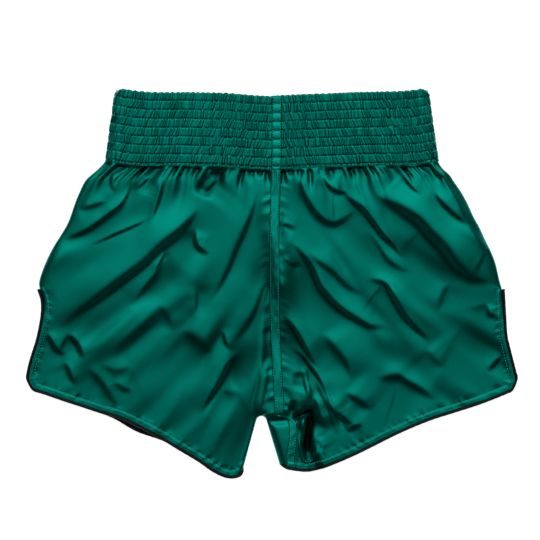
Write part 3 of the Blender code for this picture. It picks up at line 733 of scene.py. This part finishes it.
def trim_to_seam(x, y, shape, leg, side, start):
    """Points just past an inner leg seam are moved onto it; the ones beyond them are to be cut."""
    seam = np.array([over_fold(share, side * max(side * seam_over(share, side), 0.0))
                     for share in np.linspace(start, leg, 120)])
    seam = np.vstack([seam[0] + (-leg * 0.02, 0), seam, seam[-1] + (seam[-1] - seam[-5]) * 8])
    near = (np.abs(x - CROTCH[0]) < 0.06) & (y < CROTCH[1] + 0.03)
    away, sign, _ = line_distance(x[near], y[near], seam)
    beyond = np.zeros(len(x), bool)
    beyond[near] = -leg * sign * away > 0
    beyond = beyond.reshape(shape)
    beside_it = ~beyond
    for axis in (0, 1):
        for step in (-1, 1):
            beside_it |= np.roll(beside_it, step, axis)
    snap = (beyond & beside_it).ravel()
    if snap.any():
        at = line_distance(x[snap], y[snap], seam)[2] * (len(seam) - 1)
        x[snap], y[snap] = points_at(seam, np.arange(len(seam)), at).T
    return beyond & ~beside_it


def make_panel(name, leg, side, columns, rows, crowding):
    """A panel blended between the waistband, the side, the hem and the centre and leg seams."""
    start = crotch_share(side)
    top = BAND_FOOT + TUCK - dip(0)
    crotch = seam_point(start, side)
    down = np.linspace(0, 1, rows) ** crowding
    if side == FRONT:
        down = np.unique(np.concatenate([down, 1 - np.arange(0.0006, 0.0074, 0.0006) / 0.26]))
    over_gusset = leg * side < 0                           # the seam shows on this layer of this leg
    part = 0.76 if over_gusset else 0.72                   # share of the rows above the crotch
    past_hem = hem_of(leg, side)[0] - (leg * 0.012, 0.002)
    inner, outer = [], []
    for s in down:
        if s < part:
            y = mix(top, crotch[1], s / part)
            inner.append((centre_x(y, side), y))
        elif over_gusset:
            inner.append(mix(np.array(crotch), past_hem, (s - part) / (1 - part)))
        else:
            share = mix(start, leg, (s - part) / (1 - part))
            inner.append(over_fold(share, max(side * seam_over(share, side), 0.0002) * side))
    for s in down:
        y = np.interp(s, [0, 0.62, 1], [BAND_FOOT + TUCK, SLIT_TOP, HEM_CORNER - 0.0005])
        outer.append((leg * side_x(y, float(leg)), y))
    inner, outer = np.array(inner), np.array(outer)
    hem_line = hem_of(leg, side)
    outer[-1] = hem_line[-1]
    across = np.linspace(0, 1, columns)
    across = np.unique(np.concatenate([across, 1 - np.arange(0.0005, 0.0072, 0.0006) / 0.2]))
    top_x = mix(inner[0][0], outer[0][0], across)
    top_line = np.stack([top_x, BAND_FOOT + TUCK - dip(top_x / WAIST_WIDTH)], 1)
    hem_start = fold_distance(*inner[-1])
    hem = np.array([inner[-1]] + [p for p in hem_line if fold_distance(*p) > hem_start + 0.0008])
    run = lengths_along(hem)
    hem = points_at(hem, run, across * run[-1])
    u, v = across[None, :, None], down[:, None, None]      # a patch between its four edges
    corners = mix(mix(inner[0], outer[0], u), mix(inner[-1], outer[-1], u), v)
    flat = mix(inner[:, None], outer[:, None], u) + mix(top_line[None], hem[None], v) - corners
    x, y = flat[..., 0].ravel(), flat[..., 1].ravel()
    cut = trim_to_seam(x, y, flat.shape[:2], leg, side, start) if over_gusset else None
    # the front layer also gets the painted shade of its fold hollows, point by point
    z, painted_shade = height_of(x, y, side, True) if side == FRONT else (height_of(x, y, side), 0 * x)
    points = np.stack([x, y, z], 1).reshape(len(down), len(across), 3)
    piece = lay_grid(name, points, SATIN, facing(side), cut=cut, painted_shade=painted_shade.reshape(flat.shape[:2]))
    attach(piece, "root")
    return piece


panels = {}
for leg, word in ((LEFT, "left"), (RIGHT, "right")):
    panels[leg, FRONT] = make_panel("front_%s_satin" % word, leg, FRONT, 176, 190, 1.15)
    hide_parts("front_%s_panel" % word)
    panels[leg, BACK] = make_panel("back_%s_satin" % word, leg, BACK, 110, 120, 1.0)
    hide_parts("back_%s_panel" % word)

# Waistband. One wide casing of the same satin, folded over at the top and sewn flat in eight rows
# round eight elastics; stretched while it was sewn, it draws up into puffs and fine creases.
BAND_HEIGHT = 0.070
FIRST_LINE, LINE_PITCH = 0.0077, 0.00857      # drops of the sewn lines
CASING = 0.00105                              # elastic's middle to the casing
MIDDLE_Z, HALF_Z = (WAIST_LEVEL + BACK_LEVEL) / 2, (WAIST_LEVEL - BACK_LEVEL) / 2
SIDE_TURN = 0.010                             # how far in from its sides the band turns to its back
PUFF, CREASE = 0.0010, 0.0007                 # height of a puff, and of the creases at its sewn lines
rng = np.random.default_rng(11)


def band_half(drop):
    """Half the band's width, at a drop below its top edge."""
    return mix(0.302, 0.322, drop / BAND_HEIGHT) / 2 - 0.0013


def puff_place(drop):
    """Row number and share of the way down it."""
    row = np.clip(np.floor((drop - FIRST_LINE) / LINE_PITCH) + 1, 0, 8).astype(int)
    share = np.where(row == 0, 0.35 + 0.65 * drop / FIRST_LINE,
                     (drop - FIRST_LINE) / LINE_PITCH - row + 1)
    return row, np.clip(share, 0, 1)


def crease_rows():
    """Places of the creases along each row of one half of the waistband, and how full each puff is."""
    base = np.cumsum(rng.uniform(0.0014, 0.0030, 240))
    rows = []
    for _ in range(9):
        kept = base[rng.random(len(base)) > 0.05]
        places = np.sort(kept + rng.normal(0, 0.0007, len(kept)))
        rows.append((places, rng.uniform(0.6, 1.0, len(places) + 1)))
    return rows


def shirr(along, drop, creases):
    """Height of the gathered casing above its sewn lines."""
    row, share = puff_place(drop)
    rise = np.zeros_like(along)
    for number, (places, fullness) in enumerate(creases):
        here = row == number
        at = along[here]
        at = at + (0.5 - share[here]) * LINE_PITCH * (0.2 + 0.22 * np.sin(at * 170 + number * 2.3))
        at = at + 0.0004 * np.sin(at * 900 + number)
        spot = np.clip(np.searchsorted(places, at), 1, len(places) - 1)
        gap = places[spot] - places[spot - 1]
        t = np.clip((at - places[spot - 1]) / gap, 0, 1)
        bump = (1 - np.abs(2 * t - 1) ** 2) * fullness[spot] * np.minimum(gap / 0.0024, 1.2)
        puff = np.clip(np.minimum(share[here], 1 - share[here]) / 0.15, 0.03, 1) ** 0.5
        if number == 8:
            puff = 0.45 + 0.3 * share[here]
        rise[here] = PUFF * puff * (0.35 + 0.9 * bump) + CREASE * (1 - puff) * bump - CREASE
    return rise


def make_casing(leg):
    """One half of the casing: down its outside, over its top edge and inside, and round its side."""
    creases = crease_rows()
    outer, inner = 118, 30
    front, side, back = 262, 44, 150
    turn_top = np.linspace(0, math.pi, 9)[1:-1]

    def down_it(outside, over, inside):
        return np.concatenate([np.full(outer, outside), over, np.full(inner, inside)])

    drops = np.concatenate([np.linspace(BAND_HEIGHT, CASING, outer), CASING - CASING * np.sin(turn_top),
                            np.linspace(CASING, BAND_HEIGHT - 0.001, inner)])
    offsets = down_it(CASING, CASING * np.cos(turn_top), -CASING)
    swell = down_it(1.0, np.cos(turn_top) * 0.6 + 0.4, 0.4)
    up = down_it(0.0, np.sin(turn_top), 0.0)
    out = down_it(1.0, np.cos(turn_top), -1.0)
    flat = np.concatenate([np.linspace(0, 1, front), np.ones(side), np.linspace(1, 0, back)])
    angle = np.concatenate([np.full(front, math.pi / 2),
                            np.linspace(math.pi / 2, -math.pi / 2, side + 2)[1:-1],
                            np.full(back, -math.pi / 2)])
    layer = np.concatenate([np.full(front, FRONT), np.zeros(side), np.full(back, BACK)])
    drop, offset, up, out, swell = (c[:, None] for c in (drops, offsets, up, out, swell))
    half = band_half(drop)
    start = leg * np.where(layer >= 0, centre_x(0.15, FRONT),
                           centre_x(0.15, BACK))
    x = mix(start, half - SIDE_TURN, flat) + 0 * drop
    run = np.hypot(np.diff(x[50] + SIDE_TURN * np.cos(angle)), np.diff(HALF_Z * np.sin(angle)))
    along = np.append(0, np.cumsum(run))[None, :] + 0 * drop
    drop_there = np.broadcast_to(drop, along.shape)
    rise = shirr(along.ravel(), drop_there.ravel(), creases).reshape(along.shape)
    near_strip = ease((np.abs(x - start) - 0.002) / 0.005)
    rise = (rise + 0.0004) * mix(0.35, 1, near_strip) - 0.0004
    rise = rise * (1 + 1.4 * np.cos(angle) ** 2)           # fuller round the side
    pressed = 0.5 + 0.5 * np.sin(angle)                    # 1 on the front, 0 on the back
    reach = offset * mix(0.8, 1, pressed) + out * rise * swell * mix(0.16, 1, pressed)
    z = MIDDLE_Z + (HALF_Z + reach) * np.sin(angle)
    turned = (layer == 0) | (flat == 1)
    x = x + np.where(turned, (SIDE_TURN + reach) * np.cos(angle), 0)
    share = np.clip(x / half, 0, 1)
    wave = 0.0005 * np.sin(along * 55 + leg) * ease((1 - share) / 0.2)
    worn_corner = 0.0042 * ease((share - 0.95) / 0.05) ** 2 * ease(1 - drop / 0.007)
    scallop = 0.0009 * np.abs(np.sin(along * 560 + 1.1 * np.sin(along * 73) + leg)) ** 0.7
    y = high.y - drop - dip(share) + up * (0.5 * rise + scallop) + wave - worn_corner

    def outward(centres):
        above = centres[:, 2] - MIDDLE_Z
        return np.sign(above) * (np.abs(above) > HALF_Z)

    word = "left" if leg < 0 else "right"
    points = np.stack([leg * x, y, np.maximum(z, 0.00005)], -1)
    casing = lay_grid("waistband_satin_" + word, points, SATIN, facing(outward), thickness=0)
    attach(casing, "root")
    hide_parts("waistband_casing_" + word)


make_casing(LEFT)
make_casing(RIGHT)


# Elastics. Eight woven rubber bands inside the casing, one in each row.
rubber, nodes, links = new_material("woven_elastic")
shader = nodes["Principled BSDF"]
place = nodes.new("ShaderNodeTexCoord")
ribs = add_node(nodes, "TexWave", {"Scale": 260, "Distortion": 0.6})
links.new(place.outputs["Object"], ribs.inputs["Vector"])
tone = add_node(nodes, "Mix", {"A": (0.60, 0.59, 0.55, 1), "B": (0.78, 0.77, 0.73, 1)},
                data_type="RGBA")
links.new(ribs.outputs["Fac"], tone.inputs["Factor"])
links.new(tone.outputs["Result"], shader.inputs["Base Color"])
shader.inputs["Roughness"].default_value = 0.8
for number in range(1, 9):
    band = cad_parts["elastic_%d" % number]
    band.data.materials.clear()
    band.data.materials.append(rubber)


# Centre seams. A strip of the satin, edges turned in, sewn down both sides over the seam where the
# panels meet. It runs over the waistband's top and down to the crotch.
TAPE = cloth_material("seam_tape", (0.000, 0.305, 0.232), (0.000, 0.255, 0.193))


STRIP_FULL, STRIP_CLOTH = 0.0007, 0.0003      # thickness of a sewn strip, and of its cloth
LOWEST_Z = 0.00004                            # nothing goes under the table


def strip_rise(u):
    """Thickness of a strip across its width: full inside, down to the cloth at its turned edges."""
    return (STRIP_FULL * ease((1 - np.abs(u)) / 0.2)
            - 0.0002 * np.exp(-((np.abs(u) - 0.76) / 0.08) ** 2))


def make_strip(side, word):
    """One centre strip: down the middle of its layer, and over the waistband to its inside."""
    u = np.linspace(-1, 1, 19)
    start = crotch_share(side)
    foot = seam_point(start, side)[1] - 0.0012
    down = np.arange(BAND_FOOT - dip(0) + 0.0015, foot, -0.0011)
    centre = centre_x(down, side)
    x = centre[:, None] + u * CENTRE_STRIP / 2
    y = np.broadcast_to(down[:, None], x.shape)
    rng.normal(0, 1, (len(down), 3))                       # keeps the draws below as they are
    knots = np.arange(0, len(down), 5)
    uneven = np.array([np.interp(np.arange(len(down)), knots, rng.normal(0, 1, len(knots)))
                       for _ in range(5)])
    pucker = 0.00013 * np.stack([np.interp(u, np.linspace(-1, 1, 5), row) for row in uneven.T])
    lower = height_of(x.ravel(), y.ravel(), side).reshape(x.shape)
    lower = mix(lower, lower.mean(1, keepdims=True), 0.35)
    z = lower + side * (STRIP_CLOTH + strip_rise(u) + pucker * ease((1 - np.abs(u)) / 0.3))

    drops = np.arange(BAND_HEIGHT, CASING, -0.0008)
    turn = np.linspace(0, math.pi, 9)[1:-1]
    inside = np.arange(CASING, 0.016, 0.001)
    clear = CASING + 0.0009
    drop = np.concatenate([drops, CASING - clear * np.sin(turn), inside])
    reach = np.concatenate([np.full(len(drops), 1.0), np.cos(turn), np.full(len(inside), -1.0)])
    part = puff_place(np.clip(drop, 0, 1))[1]
    puff = np.sin(np.pi * np.clip(part, 0.02, 0.98)) ** 0.5
    outside = np.clip(reach, 0, 1)
    over = reach * clear + outside * 0.00085 * puff - outside * 0.0003
    if side == BACK:
        over = np.where(reach > 0, np.minimum(over, 0.00115 + 0.0001 * puff), over)
    y_band = high.y - drop - dip(0)
    x_band = centre_x(y_band, side)[:, None] + u * CENTRE_STRIP / 2
    wrinkle = 0.00018 * np.sin(u * 9 + drop[:, None] * 2600) * outside[:, None] * puff[:, None]
    z_band = (MIDDLE_Z + side * (HALF_Z + over)[:, None]
              + side * (strip_rise(u) - STRIP_FULL) * outside[:, None] + side * wrinkle)
    band_points = np.stack([x_band, y_band[:, None] + 0 * u, z_band], -1)
    points = np.concatenate([band_points[::-1], np.stack([x, y, z], -1)])
    points[..., 2] = np.maximum(points[..., 2], LOWEST_Z)
    strip = lay_grid("centre_%s_tape" % word, points, TAPE,
                     facing(lambda c: side * (c[:, 1] < BAND_FOOT - dip(0) - 0.01)), STRIP_CLOTH)
    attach(strip, "root")
    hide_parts("centre_%s_seam" % word)
    return strip, points


strips = {FRONT: make_strip(FRONT, "front"), BACK: make_strip(BACK, "back")}


# Crotch gusset. One piece of satin from hem to hem under the crotch, so it shows in front only
# on the right leg, between the inner fold and its seam.
def lay_over_folds(shares, across, reach_at):
    """A grid of places on the cloth round the inner folds, and how far over them each one lies."""
    over = np.array([[reach_at(share, t) for t in across] for share in shares])
    x, y = np.moveaxis([[over_fold(share, reach) for reach in row] for share, row in zip(shares, over)],
                       -1, 0)
    z = np.where(over.ravel() >= 0, height_of(x.ravel(), y.ravel(), FRONT),
                 height_of(x.ravel(), y.ravel(), BACK)).reshape(x.shape)
    return np.stack([x, y, z], -1), over


def make_gusset():
    points, _ = lay_over_folds(np.linspace(-1, 1, 150), np.linspace(0, 1, 34), lambda share, t: mix(
        seam_over(share, BACK), seam_over(share, FRONT), t))
    piece = lay_grid("crotch_gusset_satin", points, SATIN, facing(over_or_under))
    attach(piece, "root")
    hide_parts("crotch_gusset")
    return piece


gusset = make_gusset()


# Inner leg seams. Narrow strips like the centre one, over the seams between gusset and panels.
def make_inseam(leg, side):
    word = {FRONT: "front", BACK: "back"}[side] + {LEFT: "_left", RIGHT: "_right"}[leg]
    start = crotch_share(side) + leg * 0.004
    shares = np.linspace(start, leg, 70)
    u = np.linspace(-1, 1, 15)
    points, over = lay_over_folds(shares, u, lambda share, t: seam_over(share, side) + side * t * mix(
        0.3, 1, ease(abs(share - start) / 0.14)) * INSEAM_STRIP / 2)
    lens = np.interp(shares[:, None] * 16 + 30 + u * 0.45, np.arange(60), DRAWN[0][:60]) * (1 - u ** 2)
    points[..., 2] += np.where(over >= 0, 1, -1) * (STRIP_CLOTH + strip_rise(u) + 0.00016 * lens)
    points[..., 2] = np.maximum(points[..., 2], 0.00005)
    piece = lay_grid(word + "_inseam_tape", points, TAPE, facing(over_or_under), STRIP_CLOTH)
    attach(piece, "root")
    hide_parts(word + "_inseam")
    return piece, points


inseams = {(leg, side): make_inseam(leg, side) for leg in (LEFT, RIGHT) for side in (FRONT, BACK)}


# Leg bindings. Black satin bias strip folded over the raw edge, round each leg opening: along the
# hem, up the side slit, over its top and down the other side.
TRIM = cloth_material("black_binding", (0.010, 0.010, 0.012), (0.004, 0.004, 0.005), metallic=0.0,
                      bump=0.2, rough=0.5)
BINDING_WIDE, BINDING_THICK = 0.00135, 0.00105   # half of each


def beside(line, turn, reach):
    """Points beside a line, and the way out from it."""
    along = np.gradient(line, axis=0)
    along /= np.linalg.norm(along, axis=1)[:, None]
    return line + reach * turn * np.stack([along[:, 1], -along[:, 0]], 1)


def make_binding(leg, word):
    """A closed tube round one leg opening, out along the front edge and back along the back one."""
    route = []
    for side in (FRONT, BACK):
        line = edge_line(leg, side)
        thin = ease((np.arange(len(line)) + 1) / 5)
        out = beside(line, leg, mix(-0.0016, 0.0013, thin)[:, None])
        z = height_of(line[:, 0], line[:, 1], side)
        run = np.column_stack([out, np.maximum(z, 0.0012)])
        route.append(run if side == FRONT else run[::-1])
    tip = [mix(route[0][-1], route[1][0], t) + (leg * 0.0004, 0.0016 * math.sin(math.pi * t), 0)
           for t in (0.25, 0.5, 0.75)]
    path = np.concatenate([route[0], tip, route[1][:-1]])
    ahead = np.roll(path, -1, axis=0) - np.roll(path, 1, axis=0)
    ahead /= np.linalg.norm(ahead, axis=1)[:, None]
    aside = np.cross(ahead, (0, 0, 1.0))
    aside /= np.maximum(np.linalg.norm(aside, axis=1), 1e-6)[:, None]
    above = np.cross(aside, ahead)
    turn = np.linspace(0, 2 * math.pi, 13)
    grain = 1 + 0.05 * np.sin(np.arange(len(path)) * 2.1)[:, None]
    ring = (aside[:, None] * (np.cos(turn) * BINDING_WIDE * grain)[..., None]
            + above[:, None] * (np.sin(turn) * BINDING_THICK * grain)[..., None])
    points = path[:, None] + ring
    points = np.concatenate([points, points[:1]])
    points[..., 2] = np.maximum(points[..., 2], 0.00003)
    piece = lay_grid(word + "_leg_bias_binding", points, TRIM, facing(FRONT), 0)
    in_edit_mode(piece, (bpy.ops.mesh.select_all, {"action": "SELECT"}),
                 (bpy.ops.mesh.remove_doubles, {"threshold": 0.00001}),
                 (bpy.ops.mesh.normals_make_consistent, {"inside": False}))
    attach(piece, "root")
    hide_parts(word + "_leg_binding")
    return piece


bindings = {LEFT: make_binding(LEFT, "left"), RIGHT: make_binding(RIGHT, "right")}


# Stitching. Rows of short lockstitches in thread a shade lighter than the satin: both edges of every
# strip, and one row round each leg that holds the turned edge under the binding. The waistband's sewn
# rows are real stitching, but their near-black thread is painted shade for the grooves they sit in.
THREAD = cloth_material("thread", (0.06, 0.80, 0.66), (0.04, 0.66, 0.54), metallic=0.9, rough=0.55)
bpy.ops.object.select_all(action="DESELECT")
bpy.ops.mesh.primitive_uv_sphere_add(segments=6, ring_count=4, radius=0.5)
bead = bpy.context.object
BEAD_POINTS = np.array([v.co for v in bead.data.vertices])
BEAD_FACES = sorted(tuple(p.vertices) for p in bead.data.polygons)   # the same order each run
bpy.data.objects.remove(bead)


def sew(name, paths, up, length=0.0019, pitch=0.0027, width=0.0011, thread=THREAD):
    """Stitches one after another along paths of points that lie on the cloth: beads drawn out long."""
    spots, ways = [], []
    for path in paths:
        path = np.asarray(path)
        run = lengths_along(path)
        at = np.arange(pitch, run[-1] - pitch / 2, pitch)
        first, last = (points_at(path, run, at + half) for half in (-length / 2, length / 2))
        spots.append((first + last) / 2)
        ways.append(last - first)
    spots, ways = np.concatenate(spots), np.concatenate(ways)
    ways /= np.linalg.norm(ways, axis=1)[:, None]
    above = np.broadcast_to(np.array((0, 0, float(up))), ways.shape)
    aside = np.cross(ways, above)
    aside /= np.linalg.norm(aside, axis=1)[:, None]
    above = np.cross(aside, ways)
    across, up_share, along = BEAD_POINTS.T[..., None]
    points = (spots[:, None] + ways[:, None] * along * length
              + aside[:, None] * across * width + above[:, None] * up_share * 0.5 * width)
    count = len(BEAD_POINTS)
    faces = [tuple(i * count + v for v in face) for i in range(len(spots)) for face in BEAD_FACES]
    points[..., 2] = np.maximum(points[..., 2], 0.00003)
    mesh = bpy.data.meshes.new(name)
    mesh.from_pydata(points.reshape(-1, 3).tolist(), [], faces)
    mesh.polygons.foreach_set("use_smooth", np.ones(len(faces), bool))
    mesh.materials.append(thread)
    mesh.update()
    row = bpy.data.objects.new(name, mesh)
    bpy.context.scene.collection.objects.link(row)
    in_edit_mode(row, (bpy.ops.mesh.select_all, {"action": "SELECT"}),
                 (bpy.ops.mesh.normals_make_consistent, {"inside": False}))
    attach(row, "root")
    return row


# The waistband's rows are real stitching; their near-black thread colour is painted shade for the
# grooves they sit in.
THREAD_PAINTED_GROOVE_SHADE = cloth_material("thread_painted_groove_shade", (0.0, 0.070, 0.052), (0.0, 0.045, 0.034), rough=0.6)
stitching = {LEFT: [], RIGHT: []}
for side, word in ((FRONT, "front"), (BACK, "back")):
    points = strips[side][1]
    rows = [points[8:-2, column] + (0, 0, side * 0.0004) for column in (2, -3)]
    stitching[LEFT].append(sew("centre_%s_stitches" % word, rows, side))
    level = {FRONT: WAIST_LEVEL + CASING, BACK: max(BACK_LEVEL - CASING, 0.0003)}[side]
    lines = []
    for drop in FIRST_LINE + LINE_PITCH * np.arange(8):
        x = np.linspace(-1, 1, 180) * (band_half(drop) - 0.0105)
        lines.append(np.stack([x, high.y - drop - dip(x / band_half(drop)), np.full(180, level)], 1))
    sew("waistband_%s_stitches" % word, lines, side, width=0.0011, pitch=0.0023, thread=THREAD_PAINTED_GROOVE_SHADE)
    for leg, leg_word in ((LEFT, "left"), (RIGHT, "right")):
        line = edge_line(leg, side)[3:-2]
        inward = beside(line, -leg, 0.0048)
        z = height_of(inward[:, 0], inward[:, 1], side) + side * 0.00015
        inward = np.column_stack([inward, np.maximum(z, 0.0002)])
        stitching[leg].append(sew("%s_%s_hem_stitches" % (word, leg_word), [inward], side))
        points = inseams[leg, side][1]
        hidden = (2,) if side == FRONT else (-3,)          # only the row away from the fold
        columns = (2, -3) if leg * side > 0 else hidden
        rows = [points[8:-1, column] + (0, 0, side * 0.0002) for column in columns]
        stitching[leg].append(sew("%s_%s_inseam_stitches" % (word, leg_word), rows, side))

for (leg, side), panel in panels.items():
    with_it = []
    if side == FRONT:
        with_it = [bindings[leg], inseams[leg, FRONT][0], inseams[leg, BACK][0], *stitching[leg]]
        if leg == LEFT:
            with_it += [strips[FRONT][0], strips[BACK][0]]

bpy.context.view_layer.update()
